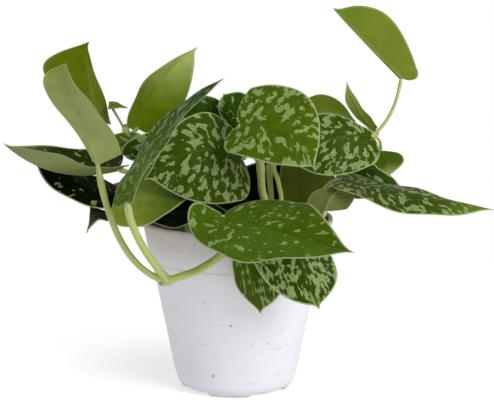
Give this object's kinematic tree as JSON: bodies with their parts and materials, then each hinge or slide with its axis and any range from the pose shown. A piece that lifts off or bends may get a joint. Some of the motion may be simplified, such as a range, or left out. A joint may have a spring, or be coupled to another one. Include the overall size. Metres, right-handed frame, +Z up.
{
  "type": "satin pothos in a nursery pot",
  "caption": "Satin pothos with silver-splashed heart-shaped leaves on arching and trailing vines, rooted in potting mix in a white plastic nursery pot.",
  "frame": {"origin": "centre of the pot's base, on the surface it stands on", "axes": "+Z up along the pot's axis, +X to the viewer's right, the viewer on the -Y side"},
  "size_m": [0.3003, 0.2444, 0.2369],
  "materials": {
    "pot_plastic": "satin",
    "potting_mix": "matte",
    "foliage": "satin"
  },
  "bodies": {
    "root": {"pot": "pot_plastic", "potting_mix": "potting_mix", "vine_front_trailing": "foliage", "vine_front_hanging": "foliage", "vine_centre": "foliage", "vine_right_tall": "foliage", "vine_right_low": "foliage", "vine_left": "foliage", "vine_back_left": "foliage", "vine_back_centre": "foliage", "vine_back": "foliage"}
  },
  "joints": []
}
